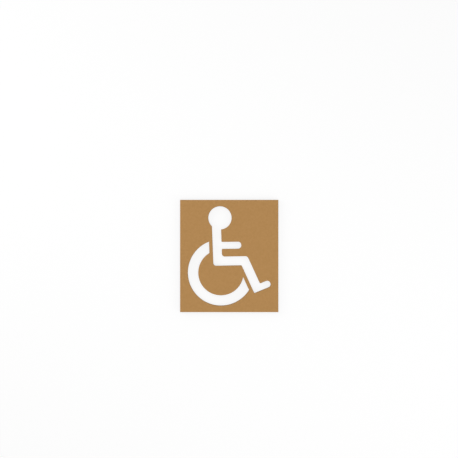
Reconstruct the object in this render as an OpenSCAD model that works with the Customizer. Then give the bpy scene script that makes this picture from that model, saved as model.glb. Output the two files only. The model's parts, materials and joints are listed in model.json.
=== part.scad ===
// Road marking stencil kit: a stack of die-cut corrugated kraft boards.
// Every board carries the same wheelchair-user symbol, cut right through, and is
// glued up from three papers: a back liner, a fluted medium and a face liner.
// Units are millimetres. The boards lie flat on Z = 0, centred on the Z axis,
// with the head of the symbol towards +Y and its foot towards +X.

/* [Kit] */
// Boards stacked in the kit
board_count = 12; // [1:1:20]
// How far a board may lie off the middle of the stack
stack_slip = 0.6; // [0:0.1:2]

/* [Board] */
// Board left clear at each side of the symbol
side_margin = 45; // [25:1:90]
// Board left clear above and below the symbol
end_margin = 37; // [20:1:90]
// Thickness of each liner paper
liner_t = 0.25; // [0.15:0.05:0.5]
// Thickness of the fluted paper
medium_t = 0.2; // [0.12:0.02:0.4]
// Height of the flutes, from liner to liner
flute_h = 2.5; // [1.8:0.1:4.8]
// Distance from one flute to the next
flute_pitch = 6.9; // [5.5:0.1:9.5]

/* [Symbol] */
// Width of the symbol, from wheel to toe
symbol_w = 500; // [480:1:580]
// Height of the symbol, from head to wheel
symbol_h = 600; // [560:1:700]
// Card left between the wheel and the figure
bridge_w = 20; // [12:1:30]

/* [Wheel] */
// Outside diameter of the wheel
wheel_d = 400; // [360:1:420]
// Width of the wheel's ring
ring_w = 64; // [45:1:75]

/* [Figure] */
// Diameter of the head
head_d = 141; // [115:1:160]
// How far the head sits in front of the torso's middle line
head_forward = 23; // [5:1:35]
// Width of the torso
torso_w = 55; // [40:1:65]
// Lean of the torso behind upright, in degrees
torso_lean = 2.1; // [0:0.1:6]
// Distance of the seat corner behind the wheel's centre
seat_back = 46; // [30:1:60]
// Height of the seat corner above the wheel's centre
seat_rise = 40; // [25:1:60]
// Width of the thigh
thigh_w = 56; // [42:1:66]
// Length of the thigh's underside
thigh_len = 170; // [150:1:190]
// Rise of the thigh towards the knee, in degrees
thigh_tilt = 1; // [0:0.1:4]
// Width of the lower leg
shin_w = 56; // [42:1:66]
// Length of the back of the lower leg
shin_len = 185; // [160:1:200]
// Swing of the lower leg in front of upright, in degrees
shin_swing = 24.6; // [20:0.1:28]
// Width of the foot
foot_w = 43; // [32:1:52]
// Rise of the foot towards the toe, in degrees
foot_tilt = 22.3; // [15:0.1:28]
// Width of the arm
arm_w = 43; // [32:1:50]
// Length of the arm's underside
arm_len = 118; // [90:1:150]
// Height of the arm's underside above the seat corner
arm_rise = 100; // [90:1:120]
// Rise of the arm towards the hand, in degrees
arm_tilt = 0.7; // [0:0.1:4]

/* [Corners] */
// Radius at the seat corner
seat_round = 17; // [5:1:25]
// Radius between the torso and the thigh
lap_round = 16; // [5:1:25]
// Radius over the knee
knee_round = 20; // [5:1:30]
// Radius at the heel, the ankle, behind the knee and where the arm starts
crease_round = 5; // [2:0.5:9]
// Radius at the hand and the toe, as a share of the limb's width
tip_round_share = 0.46; // [0.2:0.01:0.48]

/* [Hidden] */
PLIES = ["back_liner", "fluted_medium", "face_liner"];

face_colour = "#b08654";
medium_colour = "#9a7344";
back_colour = "#a97f4e";

$fn = 120;
// Turn between two points of a rounded corner
corner_step = 22.5;
// Turn from one board's slip to the next, which spreads the slips evenly
slip_turn = 137.5;
// Each board is cut from the web at another place: the share of a pitch by which its flutes start later
flute_step_share = 0.375;
// How far cutting shapes run past what they cut
overrun = 1;

// Board and layers
board_w = symbol_w + 2 * side_margin;
board_h = symbol_h + 2 * end_margin;
medium_z = liner_t;
face_z = medium_z + flute_h;
board_t = face_z + liner_t;

// One flute: straight flanks from liner to liner, sloped so that the paper keeps its thickness
flank_run = flute_pitch / 2;
flank_a = acos(medium_t / norm([flute_h, flank_run])) - atan(flank_run / flute_h);
fold_h = medium_t / cos(flank_a);
flute_count = ceil(board_w / flute_pitch) + 2;

// Headings of the figure's limbs, in degrees anticlockwise from +X
torso_a = 90 + torso_lean;
thigh_a = thigh_tilt;
shin_a = shin_swing - 90;

// The wheel stands in the symbol's lower left corner
wheel_r = wheel_d / 2;
axle = [wheel_r - symbol_w / 2, wheel_r - symbol_h / 2];

// Corners of the figure, before rounding
seat = axle + [-seat_back, seat_rise];
behind_knee = along(seat, thigh_a, thigh_len);
heel = along(behind_knee, shin_a, shin_len);
instep = beside(heel, foot_tilt, foot_w);
shin_front = beside(behind_knee, shin_a, shin_w);
thigh_top = beside(seat, thigh_a, thigh_w);
torso_front = beside(seat, torso_a, -torso_w);
arm_under = along(torso_front, torso_a, arm_rise);
arm_over = beside(arm_under, arm_tilt, arm_w);

// The head touches the symbol's top
head_r = head_d / 2;
head_y = symbol_h / 2 - head_r;
neck_back = meet(seat, torso_a, [0, head_y], 0);
neck_front = meet(torso_front, torso_a, [0, head_y], 0);
head_x = (neck_back.x + neck_front.x) / 2 + head_forward;

// The toe touches the symbol's right side, which sets the foot's length
toe_round = tip_round_share * foot_w;
hand_round = tip_round_share * arm_w;
toe_x = symbol_w / 2 - toe_round * (1 - cos(foot_tilt)) - (foot_w / 2 - toe_round) * sin(foot_tilt);
foot_len = (toe_x - (heel.x + instep.x) / 2) / cos(foot_tilt);

// A heading as a direction, a point along it and a point to the left of it
function way(a) = [cos(a), sin(a)];
function along(p, a, d) = p + d * way(a);
function beside(p, a, d) = p + d * way(a + 90);

// Where a line through p on heading a meets a line through q on heading b
function meet(p, a, q, b) = p + way(a) * cross(q - p, way(b)) / cross(way(a), way(b));

// The figure's outline, anticlockwise from the seat, as [corner, radius]
figure_corners = [
    [seat, seat_round],
    [behind_knee, crease_round],
    [heel, crease_round],
    [along(heel, foot_tilt, foot_len), toe_round],
    [along(instep, foot_tilt, foot_len), toe_round],
    [meet(instep, foot_tilt, shin_front, shin_a), crease_round],
    [meet(shin_front, shin_a, thigh_top, thigh_a), knee_round],
    [meet(thigh_top, thigh_a, torso_front, torso_a), lap_round],
    [arm_under, crease_round],
    [along(arm_under, arm_tilt, arm_len), hand_round],
    [along(arm_over, arm_tilt, arm_len), hand_round],
    [meet(arm_over, arm_tilt, torso_front, torso_a), crease_round],
    [neck_front, 0],
    [neck_back, 0],
];

// One rounded corner as points on its arc, from the edge that arrives to the edge that leaves
function corner_arc(before, corner, after, r) =
    let (
        arriving = (before - corner) / norm(before - corner),
        leaving = (after - corner) / norm(after - corner),
        half = acos(arriving * leaving) / 2,
        centre = corner + r / sin(half) * (arriving + leaving) / norm(arriving + leaving),
        first = corner + r / tan(half) * arriving - centre,
        side = sign(cross(corner - before, after - corner)),
        turn = 180 - 2 * half,
        steps = ceil(turn / corner_step)
    )
    [for (i = [0:steps]) let (a = side * turn * i / steps)
        centre + [first.x * cos(a) - first.y * sin(a), first.x * sin(a) + first.y * cos(a)]];

// A whole outline with each corner rounded to its own radius
function rounded(corners) =
    let (n = len(corners))
    [for (i = [0:n - 1])
        let (corner = corners[i][0], r = corners[i][1])
        each r == 0 ? [corner]
            : corner_arc(corners[(i + n - 1) % n][0], corner, corners[(i + 1) % n][0], r)];

// The figure: a round head on one outline of torso, arm, thigh, shin and foot
module figure_cut() {
    translate([head_x, head_y]) circle(head_r);
    polygon(rounded(figure_corners));
}

// The wheel: a ring that stops one bridge short of the figure's back, seat and shin
module wheel_cut() {
    back_line = beside(seat, torso_a, bridge_w);
    seat_line = beside(seat, thigh_a, -bridge_w);
    shin_line = beside(behind_knee, shin_a, -bridge_w);
    under_seat = meet(back_line, torso_a, seat_line, thigh_a);
    under_knee = meet(seat_line, thigh_a, shin_line, shin_a);
    above = along(under_seat, torso_a, wheel_d);
    below = along(under_knee, shin_a, wheel_d);
    difference() {
        translate(axle) circle(wheel_r);
        translate(axle) circle(wheel_r - ring_w);
        polygon([above, under_seat, under_knee, below, [below.x, above.y]]);
    }
}

// What every ply is die-cut to: the board with the symbol let through
module stencil_outline() {
    difference() {
        square([board_w, board_h], center = true);
        figure_cut();
        wheel_cut();
    }
}

// An uncut sheet of fluted paper, its flutes running along Y
module fluted_sheet() {
    fold_count = 2 * flute_count;
    folds = [for (i = [0:fold_count])
        [(i - flute_count) * flank_run, i % 2 == 0 ? 0 : flute_h - fold_h]];
    upper = [for (fold = folds) fold + [0, fold_h]];
    under = [for (i = [fold_count:-1:0]) folds[i]];
    rotate([90, 0, 0])
        linear_extrude(board_h + 2 * overrun, center = true)
            polygon(concat(upper, under));
}

// The paper that lies on the road
module back_liner() {
    color(back_colour) linear_extrude(liner_t) stencil_outline();
}

// The wavy paper between the liners, its flutes where this board has them
module fluted_medium(board) {
    flute_start = board * flute_step_share % 1 * flute_pitch;
    color(medium_colour) translate([0, 0, medium_z]) intersection() {
        translate([flute_start, 0, 0]) fluted_sheet();
        translate([0, 0, -overrun]) linear_extrude(flute_h + 2 * overrun) stencil_outline();
    }
}

// The paper that faces the painter
module face_liner() {
    color(face_colour) translate([0, 0, face_z]) linear_extrude(liner_t) stencil_outline();
}

// Puts a board's ply at its level, a little off the middle as boards in a hand-squared stack lie
module in_stack(board) {
    slip = stack_slip * [cos(slip_turn * board), sin(slip_turn * board)];
    translate([slip.x, slip.y, (board - 1) * board_t]) children();
}

function two_digits(n) = str(n < 10 ? "0" : "", n);
function ply_name(board, ply) = str("board_", two_digits(board), "_", ply);

for (board = [1:board_count]) {
    in_stack(board) back_liner();
    in_stack(board) fluted_medium(board);
    in_stack(board) face_liner();
}
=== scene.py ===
import json
import math

import bmesh
import bpy
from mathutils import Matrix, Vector

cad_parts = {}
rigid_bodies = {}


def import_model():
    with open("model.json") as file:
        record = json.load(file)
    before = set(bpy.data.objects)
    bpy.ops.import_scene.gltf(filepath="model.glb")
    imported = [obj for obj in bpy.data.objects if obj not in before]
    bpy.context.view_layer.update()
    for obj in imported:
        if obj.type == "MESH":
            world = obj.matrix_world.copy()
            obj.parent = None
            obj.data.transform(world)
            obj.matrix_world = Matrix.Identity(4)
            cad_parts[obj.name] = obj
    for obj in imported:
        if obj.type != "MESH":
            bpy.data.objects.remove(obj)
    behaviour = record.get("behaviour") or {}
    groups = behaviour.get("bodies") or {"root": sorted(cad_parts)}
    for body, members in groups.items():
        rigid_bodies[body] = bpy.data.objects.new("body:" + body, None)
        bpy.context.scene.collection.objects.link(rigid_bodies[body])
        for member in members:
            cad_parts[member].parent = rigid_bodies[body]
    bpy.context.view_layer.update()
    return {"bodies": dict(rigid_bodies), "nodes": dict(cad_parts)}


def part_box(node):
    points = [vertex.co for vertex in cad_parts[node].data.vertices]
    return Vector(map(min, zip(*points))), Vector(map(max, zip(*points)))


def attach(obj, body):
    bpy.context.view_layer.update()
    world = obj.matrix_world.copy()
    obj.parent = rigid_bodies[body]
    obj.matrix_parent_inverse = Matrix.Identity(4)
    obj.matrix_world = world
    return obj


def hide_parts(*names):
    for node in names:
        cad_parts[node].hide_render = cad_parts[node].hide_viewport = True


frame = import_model()

# Road marking stencils: a stack of corrugated kraft boards, die-cut with a wheelchair-user symbol.
# Every ply of every board becomes a sheet of paper: liners whose rim the cutting rule has crushed,
# and a fluted medium with round flutes between them.

MM = 0.001

BOARDS = range(1, len(frame["bodies"]) + 1)
PLIES = ("back_liner", "fluted_medium", "face_liner")

# The fluted paper, as its solids have it
FLUTE_PITCH = 6.9 * MM
MEDIUM_T = 0.2 * MM
# Each board is cut from the web at another place: the share of a pitch by which its flutes start later
FLUTE_STEP_SHARE = 0.375
# Places across one flute where its curve is drawn
FLUTE_STATIONS = 8
# Where a flute touches the back liner and where it touches the face liner, as shares of a pitch
VALLEY, CREST = 0.0, 0.5

# The cutting rule crushes the rim: two rows of faces along every cut, from the cut inwards,
# and how far a liner is pressed in on the cut, after one row and after both
RIM_ROW_WIDTHS = (0.5 * MM, 1.1 * MM)
RIM_DROPS = (0.32 * MM, 0.11 * MM, 0.0)
# The number of the row that lies inside both, where a liner is flat
FLAT_ROW = len(RIM_ROW_WIDTHS)

# Points closer than this are one
MERGE = 0.001 * MM
# Faces that turn less than this from each other are one flat face
FLAT = math.radians(1)
# A face is a cut edge if its normal rises or falls by less than this
UPRIGHT = 0.35
# Edges that turn more than this are shaded sharp
SHARP = math.radians(40)

# The photograph's frame, and the board's sides in it, in pixels
PHOTO_PX = 458
BOARD_LEFT_PX, BOARD_RIGHT_PX = 180.18, 278.21
BOARD_TOP_PX, BOARD_BOTTOM_PX = 199.89, 312.24
LENS_MM = 85.0
SENSOR_MM = 36.0


# Shapes

def place_of(node):
    """Where a ply lies: the middle of its outline, at its underside."""
    low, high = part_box(node)
    return Vector(((low.x + high.x) / 2, (low.y + high.y) / 2, low.z))


def height_of(node):
    low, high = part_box(node)
    return high.z - low.z


def cut_sheet(node):
    """The die-cut outline of a ply as one flat sheet about the origin."""
    sheet = bmesh.new()
    sheet.from_mesh(frame["nodes"][node].data)
    bmesh.ops.remove_doubles(sheet, verts=sheet.verts, dist=MERGE)
    others = [face for face in sheet.faces if face.normal.z < UPRIGHT]
    bmesh.ops.delete(sheet, geom=others, context="FACES")
    bmesh.ops.dissolve_limit(sheet, angle_limit=FLAT, verts=sheet.verts, edges=sheet.edges)
    middle = place_of(node)
    for vert in sheet.verts:
        vert.co = (vert.co.x - middle.x, vert.co.y - middle.y, 0)
    return sheet


def add_rim_rows(sheet):
    """Rows of faces along every cut. A layer keeps each point's row: 0 on the cut, 2 inside both rows."""
    row = sheet.verts.layers.float.new("row")
    inner = sheet.faces[:]
    for width in RIM_ROW_WIDTHS:
        bmesh.ops.inset_region(sheet, faces=inner, thickness=width, use_boundary=True, use_even_offset=True)
    for vert in sheet.verts:
        vert[row] = 0 if vert.is_boundary else 1
    for face in inner:
        for vert in face.verts:
            vert[row] = FLAT_ROW


def cut_stations(sheet, faces, stations):
    """Cuts faces along lines that run with the flutes, the middle line first and then each half."""
    if not stations:
        return
    middle = len(stations) // 2
    x = stations[middle]
    corners = dict.fromkeys(part for face in faces for part in (*face.verts, *face.edges))
    cut = bmesh.ops.bisect_plane(
        sheet, geom=[*corners, *faces], dist=MERGE, plane_co=(x, 0, 0), plane_no=(1, 0, 0))
    halves = [part for part in cut["geom"] if isinstance(part, bmesh.types.BMFace)]
    left = [face for face in halves if face.calc_center_median().x < x]
    right = [face for face in halves if face.calc_center_median().x >= x]
    cut_stations(sheet, left, stations[:middle])
    cut_stations(sheet, right, stations[middle + 1:])


def rim_drop(row):
    """How far a liner is pressed in at a row, between two rows too."""
    first = min(int(row), FLAT_ROW - 1)
    return RIM_DROPS[first] + (RIM_DROPS[first + 1] - RIM_DROPS[first]) * (row - first)


def flutes_across(x, board):
    """How many flutes a point across a board lies from a valley."""
    return x / FLUTE_PITCH - board * FLUTE_STEP_SHARE


def thicken(shape):
    """Makes a sheet two-sided and closes it along the cuts. Returns the points of its upper side."""
    made = bmesh.ops.extrude_face_region(shape, geom=shape.faces[:])
    return [part for part in made["geom"] if isinstance(part, bmesh.types.BMVert)]


def liner(sheet, node, side):
    """A flat paper whose rim is pressed towards the flutes: side is 1 for the face, -1 for the back."""
    shape = sheet.copy()
    row = shape.verts.layers.float["row"]
    for face in shape.faces:
        face.smooth = any(vert[row] < FLAT_ROW for vert in face.verts)
    for vert in shape.verts:
        vert.co.z = -side * rim_drop(vert[row])
    bmesh.ops.translate(shape, verts=thicken(shape), vec=(0, 0, height_of(node)))
    return shape


def fluted_medium(sheet, node, board):
    """A wavy paper that touches both liners. It is squeezed with them along the cuts."""
    shape = sheet.copy()
    row = shape.verts.layers.float["row"]
    flute_h = height_of(node)
    swing = (flute_h - MEDIUM_T) / 2
    upper = set(thicken(shape))
    for face in shape.faces:
        face.smooth = True
    for vert in shape.verts:
        turn = 2 * math.pi * flutes_across(vert.co.x, board)
        squeeze = 1 - 2 * rim_drop(vert[row]) / flute_h
        slope = squeeze * swing * 2 * math.pi / FLUTE_PITCH * math.sin(turn)
        half_t = MEDIUM_T / 2 * math.hypot(1, slope)
        middle_z = flute_h / 2 - squeeze * swing * math.cos(turn)
        vert.co.z = middle_z + (half_t if vert in upper else -half_t)
    return shape


def make_piece(name, shape, node, board, paper, glued_at=VALLEY):
    """Turns a shape about the origin into a piece of paper that stands for a ply and rides on its board.
    Its points keep how many flutes they lie from where the paper is glued."""
    shape.normal_update()
    bmesh.ops.recalc_face_normals(shape, faces=shape.faces)
    for face in shape.faces:
        face.material_index = int(abs(face.normal.z) < UPRIGHT)
    flute = shape.verts.layers.float.new("flute")
    tone = shape.verts.layers.float.new("tone")
    for vert in shape.verts:
        vert[flute] = flutes_across(vert.co.x, board) - glued_at
        vert[tone] = math.sin(board * TONE_STEP)
    shape.verts.layers.float.remove(shape.verts.layers.float["row"])
    bmesh.ops.translate(shape, verts=shape.verts, vec=place_of(node))
    mesh = bpy.data.meshes.new(name)
    shape.to_mesh(mesh)
    shape.free()
    mesh.materials.append(paper)
    mesh.materials.append(cut_edge)
    mesh.set_sharp_from_angle(angle=SHARP)
    piece = bpy.data.objects.new(name, mesh)
    bpy.context.scene.collection.objects.link(piece)
    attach(piece, f"board_{board:02d}")
    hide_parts(node)


# Materials

# Turn between one board's tone and the next, in radians, which mixes darker and lighter boards
TONE_STEP = 2.4
# How much darker or lighter than the rest a board may be
TONE_SHARE = 0.03
# Boards lie 3 mm apart: drawing the paper's pattern this steep in Z gives each board its own
PATTERN_STEEPNESS = 25

# Pulp clouds: how wide, between which levels of the noise they come up, and how strongly
CLOUD_WIDTH = 14 * MM
CLOUD_LEVELS = (0.35, 0.7)
CLOUD_SHARE = 0.5
# Fibres are 3 mm by 0.03 mm: too fine to show, so they are drawn 9 mm by 1 mm
FIBRE_LENGTH = 9 * MM
FIBRE_WIDTH = 1 * MM
FIBRE_LEVELS = (0.52, 0.8)
FIBRE_SHARE = 0.55
# Bark specks are strewn through the pattern. A face cuts few of them: about one in each 70 mm
SPECK_SPACING = 16 * MM
SPECK_RADIUS = 0.88 * MM
SPECK_SHARE = 0.55
SPECK_COLOUR = "#5f4224"
# The fibres stand up to half this proud, and the paper sinks a quarter of it between two glue lines
PAPER_RELIEF = 0.1 * MM
GLUE_RELIEF_SHARE = 0.25
PAPER_ROUGHNESS = (0.84, 0.96)

# Tufts of torn fibre on a cut, squashed flat by the rule
TUFT_LENGTH = 1.5 * MM
TUFT_FLATNESS = 6
TUFT_LEVELS = (0.35, 0.7)
TUFT_RELIEF = 0.1 * MM


def linear(colour):
    """An sRGB hex colour as linear red, green, blue and alpha."""
    shares = [int(colour[i:i + 2], 16) / 255 for i in (1, 3, 5)]
    return [s / 12.92 if s <= 0.04045 else ((s + 0.055) / 1.055) ** 2.4 for s in shares] + [1]


def add(tree, kind, inputs=(), **settings):
    """Adds a shader node. inputs gives its sockets a value, or a link from another node's socket."""
    node = tree.nodes.new("ShaderNode" + kind)
    for name, value in settings.items():
        setattr(node, name, value)
    for socket, value in dict(inputs).items():
        if isinstance(value, bpy.types.NodeSocket):
            tree.links.new(value, node.inputs[socket])
        else:
            node.inputs[socket].default_value = value
    return node


def new_material(name):
    material = bpy.data.materials.new(name)
    material.use_nodes = True
    material.node_tree.nodes.clear()
    return material, material.node_tree


def kraft_paper(name, colour, cloud_colour, fibre_colour, glue_share):
    """Unbleached kraft paper, matt: brown clouds where the pulp lies thicker, pale fibres along the web,
    a few dark bark specks, and faint lines where the flutes are glued behind it."""
    material, tree = new_material(name)
    coords = add(tree, "TexCoord").outputs["Object"]
    own = add(tree, "Mapping", {"Vector": coords, "Scale": (1, 1, PATTERN_STEEPNESS)}).outputs[0]
    clouds = add(tree, "TexNoise", {
        "Vector": own, "Scale": 1 / CLOUD_WIDTH, "Detail": 4, "Roughness": 0.6}).outputs[0]
    along = add(tree, "Mapping", {"Vector": own, "Scale": (FIBRE_WIDTH / FIBRE_LENGTH, 1, 1)}).outputs[0]
    fibres = add(tree, "TexNoise", {
        "Vector": along, "Scale": 1 / FIBRE_WIDTH, "Detail": 3, "Roughness": 0.7}).outputs[0]
    # Each speck has its own size, up to the largest
    specks = add(tree, "TexVoronoi", {"Vector": own, "Scale": 1 / SPECK_SPACING, "Randomness": 1}).outputs
    size = add(tree, "SeparateColor", {"Color": specks["Color"]}).outputs[0]
    reach = add(tree, "Math", {0: size, 1: SPECK_RADIUS / SPECK_SPACING}, operation="MULTIPLY").outputs[0]
    speck = add(tree, "Math", {0: specks["Distance"], 1: reach}, operation="LESS_THAN").outputs[0]
    # 1 on a glue line and -1 halfway to the next
    flute = add(tree, "Attribute", attribute_name="flute").outputs["Fac"]
    turn = add(tree, "Math", {0: flute, 1: 2 * math.pi}, operation="MULTIPLY").outputs[0]
    wave = add(tree, "Math", {0: turn}, operation="COSINE").outputs[0]
    tone = add(tree, "Attribute", attribute_name="tone").outputs["Fac"]

    cloud_amount = add(tree, "MapRange", {
        "Value": clouds, "From Min": CLOUD_LEVELS[0], "From Max": CLOUD_LEVELS[1],
        "To Max": CLOUD_SHARE}).outputs[0]
    clouded = add(tree, "Mix", {
        0: cloud_amount, 6: linear(colour), 7: linear(cloud_colour)}, data_type="RGBA").outputs[2]
    fibre_amount = add(tree, "MapRange", {
        "Value": fibres, "From Min": FIBRE_LEVELS[0], "From Max": FIBRE_LEVELS[1],
        "To Max": FIBRE_SHARE}).outputs[0]
    fibred = add(tree, "Mix", {
        0: fibre_amount, 6: clouded, 7: linear(fibre_colour)}, data_type="RGBA").outputs[2]
    speck_amount = add(tree, "Math", {0: speck, 1: SPECK_SHARE}, operation="MULTIPLY").outputs[0]
    specked = add(tree, "Mix", {
        0: speck_amount, 6: fibred, 7: linear(SPECK_COLOUR)}, data_type="RGBA").outputs[2]
    glued = add(tree, "Math", {0: wave, 1: -glue_share, 2: 1}, operation="MULTIPLY_ADD").outputs[0]
    level = add(tree, "Math", {0: tone, 1: TONE_SHARE, 2: glued}, operation="MULTIPLY_ADD").outputs[0]
    coloured = add(tree, "HueSaturation", {"Value": level, "Color": specked}).outputs[0]

    relief = add(tree, "Math", {
        0: wave, 1: GLUE_RELIEF_SHARE, 2: fibres}, operation="MULTIPLY_ADD").outputs[0]
    bump = add(tree, "Bump", {"Strength": 0.5, "Distance": PAPER_RELIEF, "Height": relief}).outputs[0]
    roughness = add(tree, "MapRange", {
        "Value": clouds, "To Min": PAPER_ROUGHNESS[0], "To Max": PAPER_ROUGHNESS[1]}).outputs[0]
    shader = add(tree, "BsdfPrincipled", {
        "Base Color": coloured, "Roughness": roughness, "Specular IOR Level": 0.25, "Normal": bump})
    add(tree, "OutputMaterial", {"Surface": shader.outputs[0]})
    return material


def raw_cut_edge(name, colour, torn_colour):
    """The die-cut edge of kraft paper: paler than the faces, rough with torn fibre ends."""
    material, tree = new_material(name)
    coords = add(tree, "TexCoord").outputs["Object"]
    flat = add(tree, "Mapping", {"Vector": coords, "Scale": (1, 1, TUFT_FLATNESS)}).outputs[0]
    tufts = add(tree, "TexNoise", {
        "Vector": flat, "Scale": 1 / TUFT_LENGTH, "Detail": 3, "Roughness": 0.7}).outputs[0]
    amount = add(tree, "MapRange", {
        "Value": tufts, "From Min": TUFT_LEVELS[0], "From Max": TUFT_LEVELS[1]}).outputs[0]
    coloured = add(tree, "Mix", {
        0: amount, 6: linear(colour), 7: linear(torn_colour)}, data_type="RGBA").outputs[2]
    bump = add(tree, "Bump", {"Strength": 0.6, "Distance": TUFT_RELIEF, "Height": tufts}).outputs[0]
    shader = add(tree, "BsdfPrincipled", {
        "Base Color": coloured, "Roughness": 0.95, "Specular IOR Level": 0.2, "Normal": bump})
    add(tree, "OutputMaterial", {"Surface": shader.outputs[0]})
    return material


# Each paper: its colour, its clouds, its fibres, and how much darker its glue lines are
face_paper = kraft_paper("kraft_face_liner", "#b38853", "#a87d49", "#c09763", 0.012)
back_paper = kraft_paper("kraft_back_liner", "#a97f4e", "#9d7343", "#b58c5b", 0.016)
flute_paper = kraft_paper("kraft_fluting_medium", "#9a7344", "#8e683b", "#a67f50", 0.0)
cut_edge = raw_cut_edge("raw_cut_kraft_edge", "#a87f4d", "#c6a173")


# Pieces

plain_sheet = cut_sheet("board_01_face_liner")
add_rim_rows(plain_sheet)

station_sheet = plain_sheet.copy()
station_gap = FLUTE_PITCH / FLUTE_STATIONS
station_count = int(max(vert.co.x for vert in station_sheet.verts) / station_gap)
cut_stations(
    station_sheet, station_sheet.faces[:],
    [step * station_gap for step in range(-station_count, station_count + 1)])

for board in BOARDS:
    name = f"board_{board:02d}"
    back, medium, face = (f"{name}_{ply}" for ply in PLIES)
    make_piece(f"{name}_back_paper", liner(plain_sheet, back, -1), back, board,
               back_paper)
    make_piece(f"{name}_flutes", fluted_medium(station_sheet, medium, board), medium, board,
               flute_paper)
    make_piece(f"{name}_face_paper", liner(plain_sheet, face, 1), face, board,
               face_paper, glued_at=CREST)
plain_sheet.free()
station_sheet.free()


# Floor and world

FLOOR_SIDE = 16.0
# The background is white to the camera: the floor's own share of that, the rest being the light on it
FLOOR_GLOW_SHARE = 0.8
# The share of full white that the surroundings give a white surface
AMBIENT_SHARE = 0.45


def seen_ray(tree):
    """1 for rays that show the background: from the camera, a mirror or glass."""
    path = add(tree, "LightPath").outputs
    mirrored = add(tree, "Math", {
        0: path["Is Camera Ray"], 1: path["Is Glossy Ray"]}, operation="MAXIMUM").outputs[0]
    return add(tree, "Math", {
        0: mirrored, 1: path["Is Transmission Ray"]}, operation="MAXIMUM").outputs[0]


def pale_floor():
    """Matt white studio floor that stays white to the camera and takes a soft shadow."""
    material, tree = new_material("matt_white_floor")
    paint = add(tree, "BsdfDiffuse", {"Color": (1 - FLOOR_GLOW_SHARE,) * 3 + (1,)})
    glow = add(tree, "Math", {0: seen_ray(tree), 1: FLOOR_GLOW_SHARE}, operation="MULTIPLY").outputs[0]
    white = add(tree, "Emission", {"Strength": glow})
    both = add(tree, "AddShader", {0: paint.outputs[0], 1: white.outputs[0]})
    add(tree, "OutputMaterial", {"Surface": both.outputs[0]})
    return material


def make_floor():
    shape = bmesh.new()
    bmesh.ops.create_grid(shape, x_segments=1, y_segments=1, size=FLOOR_SIDE / 2)
    mesh = bpy.data.meshes.new("floor")
    shape.to_mesh(mesh)
    shape.free()
    mesh.materials.append(pale_floor())
    floor = bpy.data.objects.new("floor", mesh)
    bpy.context.scene.collection.objects.link(floor)


def make_world():
    world = bpy.data.worlds.new("white_studio")
    world.use_nodes = True
    tree = world.node_tree
    tree.nodes.clear()
    strength = add(tree, "MapRange", {"Value": seen_ray(tree), "To Min": AMBIENT_SHARE}).outputs[0]
    sky = add(tree, "Background", {"Color": (1, 1, 1, 1), "Strength": strength})
    add(tree, "OutputWorld", {"Surface": sky.outputs[0]})
    bpy.context.scene.world = world


# Lights

# Square soft boxes: where each stands, its side, and the share of full white that it gives a white surface
SOFT_BOXES = {
    "overhead_box": ((0, 0, 4.5), 3.5, 0.42),
    "left_box": ((-2.8, 1.4, 2.2), 1.8, 0.18),
    "right_box": ((2.8, -1.4, 2.2), 1.8, 0.16),
}


def add_soft_box(name, place, side, share):
    """A soft box that looks at the origin. The share holds for a surface there that faces the box."""
    lamp = bpy.data.lights.new(name, "AREA")
    lamp.size = side
    lamp.energy = share * (math.pi * place.length) ** 2
    holder = bpy.data.objects.new(name, lamp)
    holder.location = place
    holder.rotation_euler = place.to_track_quat("Z", "Y").to_euler()
    holder.visible_camera = False
    bpy.context.scene.collection.objects.link(holder)


# Camera

def make_camera():
    """Straight above the top board, at the height and place where the board fills its pixels of the
    photograph."""
    low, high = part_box(f"board_{BOARDS[-1]:02d}_face_liner")
    size, middle = high - low, (low + high) / 2
    pixel = (size.x / (BOARD_RIGHT_PX - BOARD_LEFT_PX) + size.y / (BOARD_BOTTOM_PX - BOARD_TOP_PX)) / 2
    right = (BOARD_LEFT_PX + BOARD_RIGHT_PX - PHOTO_PX) / 2 * pixel
    down = (BOARD_TOP_PX + BOARD_BOTTOM_PX - PHOTO_PX) / 2 * pixel
    lens = bpy.data.cameras.new("camera")
    lens.lens = LENS_MM
    lens.sensor_width = SENSOR_MM
    camera = bpy.data.objects.new("camera", lens)
    camera.location = (middle.x - right, middle.y + down, high.z + PHOTO_PX * pixel * LENS_MM / SENSOR_MM)
    bpy.context.scene.collection.objects.link(camera)
    bpy.context.scene.camera = camera


make_floor()
make_world()
for name, (place, side, share) in SOFT_BOXES.items():
    add_soft_box(name, Vector(place), side, share)
make_camera()
bpy.context.scene.view_settings.view_transform = "Standard"
